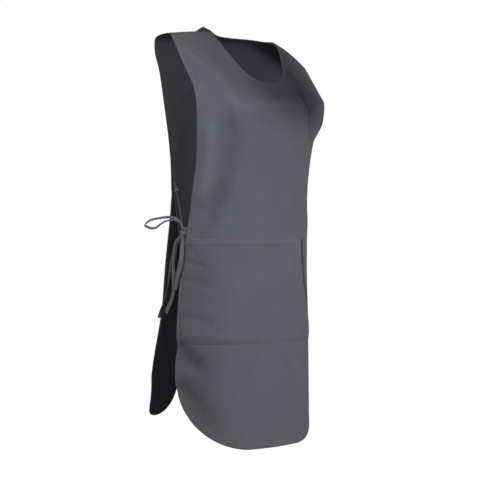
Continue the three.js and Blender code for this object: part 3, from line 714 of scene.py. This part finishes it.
def tape(route, axis, gathered_start, gathered_end, phase, turned=None, curled=1.0):
    """Points, faces and lengths of a flat tape along a smooth route. Its width keeps to an axis and is
    curled in to a share of itself. It gathers into pleats at the knot, twists and ripples as sines of the
    length, and is cupped across as the square of the share of the width. Where a second axis is given,
    the tape turns to it a little way along."""
    route = np.array(route, float)
    places = np.concatenate([[0], np.cumsum(np.sqrt(np.linalg.norm(np.diff(route, axis=0), axis=1)))])
    curve = smooth_at(places, route, np.linspace(0, places[-1], ROUTE_SAMPLES))
    run = along(curve)
    count = int(run[-1] / TAPE_STEP) + TAPE_FEWEST
    steps = np.linspace(0, run[-1], count)
    centre = np.stack([np.interp(steps, run, curve[:, k]) for k in range(3)], axis=1)
    direction = unit(np.gradient(centre, axis=0))
    if turned is not None:
        axis = lerp(axis, turned, smoothstep(TURN_STARTS, TURN_ENDS, steps)[:, None])
    thick = unit(np.cross(direction, axis))
    wide = unit(np.cross(thick, direction))
    twist = TWIST * np.sin(steps / TWIST_LENGTH + phase)[:, None]
    twisted = wide * np.cos(twist) + thick * np.sin(twist)
    thick = thick * np.cos(twist) - wide * np.sin(twist)
    wide = twisted
    near_start = smoothstep(0, GATHER_LENGTH, steps) if gathered_start else np.ones(count)
    near_end = smoothstep(0, GATHER_LENGTH, steps[-1] - steps) if gathered_end else np.ones(count)
    spread = (near_start * near_end)[:, None]
    share = np.linspace(-1, 1, TAPE_COLUMNS)[None]
    offset = share * TAPE_WIDTH / 2 * lerp(GATHERED, curled, spread)
    pleat = (1 - spread) * PLEAT * np.cos(2 * math.pi * share)
    wave = RIPPLE * np.sin(steps / RIPPLE_LENGTH + phase)[:, None]
    ripple = spread * (wave + CUP * (share**2 - CUP_LEVEL))
    sideways = wide[:, None] * offset[..., None]
    middle = centre[:, None] + sideways + thick[:, None] * (pleat + ripple)[..., None]
    wall = TAPE_WALL / 2 * np.sqrt(np.clip(1 - share**TAPE_SQUARENESS, TAPE_THINNEST, 1)) + 0 * spread
    lift = thick[:, None] * wall[..., None]
    points, quads = shell(middle + lift, middle - lift)
    flat = np.stack([share * TAPE_WIDTH / 2 + 0 * spread, steps[:, None] + 0 * share], axis=-1)
    flat = flat.reshape(-1, 2)
    edge = (TAPE_WIDTH / 2 * (1 - np.abs(share)) + 0 * spread).ravel()
    return points, quads, np.concatenate([flat, flat]), np.concatenate([edge, edge]), run[-1]


def tie_object(name, tapes, material):
    """The tapes of one tie as one object, with the total length of its tapes."""
    offset, points, quads, flats, edges = 0, [], [], [], []
    for tape_points, tape_quads, flat, edge, _ in tapes:
        points.append(tape_points)
        quads.append(tape_quads + offset)
        flats.append(flat)
        edges.append(edge)
        offset += len(tape_points)
    edge = np.concatenate(edges)
    far = np.full_like(edge, FAR_AWAY)
    flat = np.concatenate(flats)
    lengths = {"edge": far, "run": flat[:, 1], "seam": edge, "divider": far, "slit": far, "fold": 0 * far}
    made = cloth_object(name, np.concatenate(points), np.concatenate(quads), flat, lengths, material)
    return made, sum(part[4] for part in tapes)


def sewn_route(panel, side, down):
    """The start of a tie: sewn inside the side edge of a panel and just past the edge."""
    depth = -(CLOTH_WALL / 2 + TIE_SEAT_GAP + TAPE_WALL / 2)
    shares = share_from_edge(panel, down, np.array([TIE_SEWN, TIE_SEWN / 2, 0]))
    inside, near_edge, edge = cloth_point(panel, side * shares, np.full(3, down), depth)
    return [inside, near_edge, edge, edge + unit(edge - near_edge) * TIE_PAST_EDGE]


def knot_object(name, knot, side, material):
    """The knot: a turn of tape round the middle of the bow, as a round lump whose radius swells and
    dips in a band that winds round it."""
    turn = np.linspace(0, 2 * math.pi, LUMP_COLUMNS, endpoint=False)[None]
    slant = np.linspace(LUMP_POLE, math.pi - LUMP_POLE, LUMP_ROWS)[:, None]
    winding = turn * side + BAND_WINDING * np.cos(slant) + BAND_START
    band = BAND_SWELL * np.tanh(BAND_SHARPNESS * np.sin(winding))
    pleats = LUMP_PLEAT * np.sin(LUMP_PLEATS * np.cos(slant) + LUMP_PLEAT_LEAN * np.sin(turn))
    radius = (LUMP_RADIUS + band + pleats) * np.sin(slant) ** LUMP_SQUARENESS
    height = (KNOT_HEIGHT / 2 + LUMP_OVERHANG) * np.cos(slant) + LUMP_TILT * np.sin(turn + LUMP_TILT_TURN)
    outer = np.stack([radius * np.cos(turn), radius * np.sin(turn), height], axis=-1) + knot
    rows, columns = outer.shape[:2]
    index = np.arange(rows * columns).reshape(rows, columns)
    ahead = np.roll(index, -1, axis=1)
    quads = np.stack([index[:-1], index[1:], ahead[1:], ahead[:-1]], axis=-1).reshape(-1, 4)
    caps = [outer[0].mean(axis=0), outer[-1].mean(axis=0)]
    points = np.concatenate([outer.reshape(-1, 3), caps])
    first, last = rows * columns, rows * columns + 1
    half = columns // 2
    pairs = np.arange(0, columns, 2)
    corners = np.stack([pairs, pairs + 1, (pairs + 2) % columns], axis=-1)
    top = np.column_stack([np.full(half, first), index[0][corners]])
    under = np.column_stack([np.full(half, last), index[-1][corners[:, ::-1]]])
    flat = np.stack([LUMP_AROUND * turn + 0 * slant, LUMP_UP * np.cos(slant) + 0 * turn], axis=-1)
    flat = np.concatenate([flat.reshape(-1, 2), np.zeros((2, 2))])
    far = np.full(len(points), FAR_AWAY)
    lengths = {"edge": far, "run": far, "seam": far, "divider": far, "slit": far, "fold": 0 * far}
    return cloth_object(name, points, np.concatenate([quads, top, under]), flat, lengths, material)


def side_bow(side, name, material):
    """The two ties and the knot of one side, side being -1 at the wearer's right and 1 at the left."""
    edge = cloth_point(front, float(side), FRONT_TIE_DOWN, 0.0)
    knot = edge + np.array([side * KNOT_OUT, KNOT_BACK, -KNOT_DROP])
    outwards = np.array([side, 1.0, 1.0])
    seat = KNOT_HEIGHT / 2 + CORE_OVERHANG - SEAT_INSIDE
    shift = (CORE_WALL + CORE_GAP) / 2

    def seated(out, spread, level):
        """A place in the knot, outwards in millimetres, and in core widths and seat heights."""
        return knot + np.array([side * out, spread * CORE_WIDTH, level * seat])

    def routed(route, length):
        """A route's shares times a length, from the knot."""
        return list(knot + route * length * outwards)

    up = np.array([0.0, 0.0, 1.0])
    across_loop = np.array([-side * 0.5, 0.5, 0.7])
    across_body = np.array([float(side), 0.0, 0.0])
    across_lead = np.array([-side * 0.7, 0.7, 0.0])
    across_front_tail = np.array([side * 0.2, 1.0, 0.0])
    across_back_tail = np.array([side * 0.9, -0.4, 0.0])
    front_end = knot + np.array([side * shift, -CORE_WIDTH, seat + FRONT_LEAD_UP])
    front_lead = [*sewn_route(front, side, FRONT_TIE_DOWN), front_end]
    back_lead = [*sewn_route(back, side, BACK_TIE_DOWN), seated(-shift, -0.05, 1)]
    hang_loop = [
        seated(shift, 0.2, -0.85),
        *routed(HANG_LOOP_ROUTE, HANG_LOOP_DROP),
        seated(shift, -0.2, -0.95),
    ]
    side_loop = [
        seated(-shift, 0.2, 0.95),
        *routed(SIDE_LOOP_ROUTE, SIDE_LOOP_REACH),
        seated(-shift, -0.1, 0.8),
    ]
    front_tail = [seated(shift, -0.05, -0.9), *routed(FRONT_TAIL_ROUTE, FRONT_TAIL_DROP)]
    back_tail = [seated(-shift, 0.05, -0.9), *routed(BACK_TAIL_ROUTE, BACK_TAIL_DROP)]
    front_tie, front_length = tie_object(f"{name}_front_tie_tapes", [
        tape([*front_lead, seated(shift, -0.1, 1)], up, False, True, 0.4),
        tape(hang_loop, across_body, True, True, 1.3),
        tape(front_tail, across_body, True, False, 2.6, turned=across_front_tail, curled=TAIL_CURLED),
    ], material)
    back_tie, back_length = tie_object(f"{name}_back_tie_tapes", [
        tape(back_lead, up, False, True, 0.9, turned=across_lead),
        tape(side_loop, across_loop, True, True, 2.1, curled=LOOP_CURLED),
        tape(back_tail, across_back_tail, True, False, 3.7),
    ], material)
    knot_lump = knot_object(f"{name}_knot_turn", knot, side, material)
    for made, node_name in ((front_tie, "front_tie"), (back_tie, "back_tie"), (knot_lump, "knot")):
        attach(made, "root")
        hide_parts(f"{name}_{node_name}")
    return [front_tie, back_tie, knot_lump]


def linear(code):
    """A colour written as a hex code, turned into linear light."""
    channels = [int(code[k : k + 2], 16) / 255 for k in (1, 3, 5)]
    return (*[c / 12.92 if c <= 0.04045 else ((c + 0.055) / 1.055) ** 2.4 for c in channels], 1.0)


def add_node(tree, kind, inputs, output=0, **settings):
    """A new shader node with its settings and its inputs, which are values or other nodes' outputs.
    Gives back one of its outputs."""
    made = tree.nodes.new(f"ShaderNode{kind}")
    for label, value in settings.items():
        setattr(made, label, value)
    for key, value in inputs.items():
        if isinstance(value, bpy.types.NodeSocket):
            tree.links.new(value, made.inputs[key])
        else:
            made.inputs[key].default_value = value
    return made.outputs[output]


def cloth_material(name, colour, light_colour, wale, stitched):
    """Woven cloth: matt, with a faint sheen from its fibres. Its colour varies from yarn to yarn and in
    soft patches, and is lighter across a hem. Painted light and shade are mixed into the colour too:
    lighter on the folds' ridges and darker in their valleys, darker along the pull of each seam, lighter
    just at each seam line and a tape's edges, and darkened towards near black in the painted shade of
    the pocket's side slit. Its relief is the diagonal wale of the weave, the step at a hem, the pull of
    each seam and the row of single stitches along them. stitched gives the distance of each row from the
    line it follows. All are measured in metres from lengths stored in the mesh."""
    material = bpy.data.materials.new(name)
    material.use_nodes = True
    tree = material.node_tree
    shader = tree.nodes["Principled BSDF"]
    place = add_node(tree, "UVMap", {}, uv_map="cloth")
    labels = ("edge", "run", "seam", "divider", "slit", "fold")
    edge, run, seam, divider, slit, fold = [
        add_node(tree, "Attribute", {}, "Fac", attribute_name=label) for label in labels
    ]

    def line(distance, centre, width):
        """1 on a line at a place, falling to 0 at a width to each side."""
        beside = add_node(tree, "Math", {0: distance, 1: centre}, operation="SUBTRACT")
        away = add_node(tree, "Math", {0: beside}, operation="ABSOLUTE")
        falling = {0: away, 1: -1 / width, 2: 1.0}
        near = add_node(tree, "Math", falling, operation="MULTIPLY_ADD")
        rounded = {0: near, 1: 0.0, 2: LINE_SOFTNESS}
        return add_node(tree, "Math", rounded, operation="SMOOTH_MAX")

    def waves(distance, length):
        """A sine along a distance, whose waves have a length in millimetres."""
        angle = {0: distance, 1: 2 * math.pi * METRE / length}
        turned = add_node(tree, "Math", angle, operation="MULTIPLY")
        return add_node(tree, "Math", {0: turned}, operation="SINE")

    def noise(where, cell, detail, roughness):
        """Noise whose cells have a size in millimetres along each axis."""
        per_cell = {0: where, 1: tuple(METRE / size for size in cell)}
        scaled = add_node(tree, "VectorMath", per_cell, operation="MULTIPLY")
        grain = {"Vector": scaled, "Scale": 1.0, "Detail": detail, "Roughness": roughness}
        return add_node(tree, "TexNoise", grain)

    def layered(layers):
        """The sum of layers, each times its strength."""
        total = 0.0
        for layer, strength in layers:
            added = {0: layer, 1: strength, 2: total}
            total = add_node(tree, "Math", added, operation="MULTIPLY_ADD")
        return total

    beat = {0: waves(run, STITCH_LENGTH), 1: DASH_SLOPE, 2: DASH_COVER}
    dash = add_node(tree, "Math", beat, operation="MULTIPLY_ADD", use_clamp=True)
    thread = 0.0
    pull_and_its_shade = 0.0
    for distance, centre in zip((seam, edge, divider), stitched):
        row = line(distance, centre * MILLIMETRE, THREAD_WIDTH * MILLIMETRE)
        stitches = add_node(tree, "Math", {0: row, 1: dash}, operation="MULTIPLY")
        thread = add_node(tree, "Math", {0: stitches, 1: thread}, operation="MAXIMUM")
        # Each seam's pull is a groove in the relief and painted shade in the colour along it
        drawn = line(distance, centre * MILLIMETRE, PULL_WIDTH * MILLIMETRE)
        pull_and_its_shade = add_node(tree, "Math", {0: drawn, 1: pull_and_its_shade}, operation="MAXIMUM")
    in_hem = add_node(tree, "MapRange", {
        "Value": edge,
        "From Min": (HEM_WIDTH - HEM_STEP_INSIDE) * MILLIMETRE,
        "From Max": (HEM_WIDTH + HEM_STEP_OUTSIDE) * MILLIMETRE,
        "To Min": 1.0,
        "To Max": 0.0,
    }, interpolation_type="SMOOTHSTEP")

    yarn = noise(place, YARN_CELL, 2.0, 0.6)
    patches = noise(place, PATCH_CELL, 3.0, 0.5)
    # Painted shade in the folds' valleys and painted light on their ridges, from the fold lift
    fold_shade_range = {0: fold, 1: FOLD_SHADE_VALLEY * MILLIMETRE, 2: FOLD_SHADE_RIDGE * MILLIMETRE}
    fold_shade = add_node(tree, "Clamp", fold_shade_range)
    # Painted light along each seam line and a tape's edges
    painted_light_on_seams = line(seam, 0.0, SEAM_PAINTED_LIGHT_WIDTH * MILLIMETRE)
    shade = layered([
        (patches, 0.45),
        (yarn, 0.35),
        (in_hem, 0.06),
        (fold_shade, 0.045 / MILLIMETRE),
        (pull_and_its_shade, -0.09),
        (painted_light_on_seams, 0.25),
        (thread, 0.24),
    ])
    mixed = add_node(tree, "MapRange", {"Value": shade, "From Min": 0.0, "From Max": 0.8})
    # The sockets of a colour Mix: 0 is its factor, 6 and 7 are its colours, and output 2 is the result
    colours = {0: mixed, 6: linear(colour), 7: linear(light_colour)}
    tint = add_node(tree, "Mix", colours, 2, data_type="RGBA")
    # Painted shade in the pocket's side slit: the colour is mixed towards near black beside the pocket's
    # left edge
    shade_in_slit = {0: line(slit, 0.0, SLIT_SHADE * MILLIMETRE), 1: SLIT_DARKNESS}
    in_slit = add_node(tree, "Math", shade_in_slit, operation="MULTIPLY")
    painted_slit_shade = {0: in_slit, 6: tint, 7: linear("#1c1c1f")}
    shaded_tint = add_node(tree, "Mix", painted_slit_shade, 2, data_type="RGBA")
    tree.links.new(shaded_tint, shader.inputs["Base Color"])

    slanted = {0: place, 1: (1.0, WALE_LEAN, 0.0)}
    diagonal = add_node(tree, "VectorMath", slanted, 1, operation="DOT_PRODUCT")
    pucker = noise(add_node(tree, "CombineXYZ", {0: run, 1: edge}), PUCKER_CELL, 1.0, 0.5)
    hem_pucker = add_node(tree, "Math", {0: pucker, 1: in_hem}, operation="MULTIPLY")
    crumple = noise(place, CRUMPLE_CELL, 3.0, 0.55)
    relief = layered([
        (waves(diagonal, wale), 0.04 * MILLIMETRE),
        (yarn, 0.06 * MILLIMETRE),
        (crumple, 0.6 * MILLIMETRE),
        (hem_pucker, 0.6 * MILLIMETRE),
        (in_hem, 0.2 * MILLIMETRE),
        (pull_and_its_shade, -0.14 * MILLIMETRE),
        (thread, 0.3 * MILLIMETRE),
    ])
    bump = add_node(tree, "Bump", {"Strength": 1.0, "Distance": 1.0, "Height": relief})
    tree.links.new(bump, shader.inputs["Normal"])
    shader.inputs["Roughness"].default_value = 0.9
    shader.inputs["IOR"].default_value = 1.5
    shader.inputs["Specular IOR Level"].default_value = 0.25
    shader.inputs["Sheen Weight"].default_value = 0.12
    shader.inputs["Sheen Roughness"].default_value = 0.5
    return material


def white_when_seen(tree, shader):
    """Mixes a shader with a white glow that only the camera sees, so that it lights nothing."""
    glow = add_node(tree, "Emission", {"Color": (1.0, 1.0, 1.0, 1.0), "Strength": 1.0})
    seen = add_node(tree, "LightPath", {}, "Is Camera Ray")
    return add_node(tree, "MixShader", {0: seen, 1: shader, 2: glow})


def soft_light(name, place, size, power, lit, blockers):
    """A square soft light at a place, facing the middle of the apron, all in metres. It reaches only the
    lit objects, and only the blockers shade it, as if black flags kept it off the others."""
    data = bpy.data.lights.new(name, "AREA")
    data.shape = "SQUARE"
    data.size = size
    data.energy = power
    lamp = bpy.data.objects.new(name, data)
    lamp.location = place
    away = np.array(LIGHTS_FACE) - np.array(place)
    lamp.rotation_euler = (
        math.atan2(math.hypot(away[0], away[1]), -away[2]),
        0.0,
        math.atan2(-away[0], away[1]),
    )
    bpy.context.scene.collection.objects.link(lamp)
    for linked, role in ((lit, "receiver_collection"), (blockers, "blocker_collection")):
        chosen = bpy.data.collections.new(f"{name} {role}")
        for item in linked:
            chosen.objects.link(item)
        setattr(lamp.light_linking, role, chosen)


TWILL_NAME = "Polycotton twill, woven and piece-dyed grey"
TAPE_NAME = "Polycotton tape, folded and edge-stitched"
twill = cloth_material(TWILL_NAME, "#55565c", "#6c6d74", TWILL_WALE, (SEAM_STITCH, HEM_STITCH, 0.0))
tape_cloth = cloth_material(TAPE_NAME, "#5b5c63", "#75767d", TAPE_WALE, (TAPE_STITCH,))

front_cloth = panel_object("front_panel_cloth", front, twill)
back_cloth = panel_object("back_panel_cloth", back, twill)
pocket_cloth = pocket_object("pocket_cloth", twill)
for made, node_name in ((front_cloth, "front_panel"), (back_cloth, "back_panel"), (pocket_cloth, "pocket")):
    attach(made, "root")
    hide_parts(node_name)
right_bow = side_bow(-1, "right", tape_cloth)
left_bow = side_bow(1, "left", tape_cloth)

# Studio, in metres: a pale floor, a white surround that lights the cloth only a little, and soft lights
FLOOR_LEVEL = -1.26
FLOOR_HALF = 30.0
LIGHTS_FACE = (0.0, 0.0, -0.4)
floor_mesh = bpy.data.meshes.new("Floor")
corner_signs = ((-1, -1), (1, -1), (1, 1), (-1, 1))
floor_corners = [(x * FLOOR_HALF, y * FLOOR_HALF, FLOOR_LEVEL) for x, y in corner_signs]
floor_mesh.from_pydata(floor_corners, [], [(0, 1, 2, 3)])
floor = bpy.data.objects.new("Floor", floor_mesh)
bpy.context.scene.collection.objects.link(floor)
floor_material = bpy.data.materials.new("Pale studio floor")
floor_material.use_nodes = True
floor_tree = floor_material.node_tree
floor_shader = floor_tree.nodes["Principled BSDF"]
floor_shader.inputs["Base Color"].default_value = linear("#c8c8c8")
floor_shader.inputs["Roughness"].default_value = 0.9
floor_out = floor_tree.nodes["Material Output"]
floor_tree.links.new(white_when_seen(floor_tree, floor_shader.outputs[0]), floor_out.inputs["Surface"])
floor_mesh.materials.append(floor_material)

world = bpy.data.worlds.new("Studio")
world.use_nodes = True
bpy.context.scene.world = world
world_tree = world.node_tree
dim = world_tree.nodes["Background"]
dim.inputs["Color"].default_value = (0.08, 0.08, 0.083, 1.0)
world_out = world_tree.nodes["World Output"]
world_tree.links.new(white_when_seen(world_tree, dim.outputs[0]), world_out.inputs["Surface"])

# A flag close in front of the far shoulder, which lies in shade. Its corners are points round the
# shoulder, moved towards the lights. It only casts its shadow.
FLAG_AWAY = 0.15
TOWARDS_LIGHTS = (-0.7, -1.4, -0.1)
shaded = np.array([
    [0.02, -0.05, 0.080],
    [0.02, -0.06, -0.122],
    [0.10, -0.07, -0.141],
    [0.16, -0.07, -0.158],
    [0.30, -0.06, -0.166],
    [0.30, -0.02, 0.080],
])
flag_mesh = bpy.data.meshes.new("Flag")
flag_corners = shaded + unit(np.array(TOWARDS_LIGHTS)) * FLAG_AWAY
flag_mesh.from_pydata(flag_corners.tolist(), [], [tuple(range(len(shaded)))])
flag = bpy.data.objects.new("Flag", flag_mesh)
bpy.context.scene.collection.objects.link(flag)
flag.visible_camera = False
flag.visible_diffuse = False
flag.visible_glossy = False

# Lights: name, place, size, power, what each lights and what shades it. The back, in deeper shade, has
# its own. The pocket lies so close to the front that it throws no shadow on it.
bows = [*right_bow, *left_bow]
lit_front = [front_cloth, pocket_cloth, *bows]
shading_front = [back_cloth, flag, front_cloth, *bows]
lit_behind = [back_cloth, *bows]
LIGHTS = [
    ("Near left", (-1.25, -0.6, -0.14), 0.7, 9.0, lit_front, shading_front),
    ("Near middle", (-0.2, -1.5, -0.25), 0.7, 3.5, lit_front, shading_front),
    ("Near right", (0.9, -1.4, -0.22), 0.9, 10.6, lit_front, shading_front),
    ("Wide right", (2.6, -2.4, -0.4), 3.0, 21.7, lit_front, shading_front),
    ("Overhead", (-0.5, -1.6, 2.4), 3.0, 27.1, lit_front, shading_front),
    ("Inside", (-0.05, -1.3, 0.2), 0.8, 5.8, [back_cloth], [back_cloth]),
    ("Behind", (2.0, 2.8, -0.2), 1.2, 80.0, lit_behind, [front_cloth, pocket_cloth, *lit_behind]),
]
for light in LIGHTS:
    soft_light(*light)

# Camera: 45 degrees round from the front on the wearer's right, level, at waist height
CAMERA_DISTANCE = 3.2
CAMERA_SIDE = 0.004
CAMERA_HEIGHT = -0.41
forward = np.array([math.sqrt(0.5), math.sqrt(0.5), 0.0])
rightward = np.array([math.sqrt(0.5), -math.sqrt(0.5), 0.0])
camera_data = bpy.data.cameras.new("Camera")
camera_data.lens = 120.0
camera_data.sensor_width = 36.0
camera_data.clip_end = 100.0
camera = bpy.data.objects.new("Camera", camera_data)
camera.location = rightward * CAMERA_SIDE - forward * CAMERA_DISTANCE + np.array([0.0, 0.0, CAMERA_HEIGHT])
camera.rotation_euler = (math.pi / 2, 0.0, -math.pi / 4)
bpy.context.scene.collection.objects.link(camera)
bpy.context.scene.camera = camera
bpy.context.scene.view_settings.view_transform = "Standard"
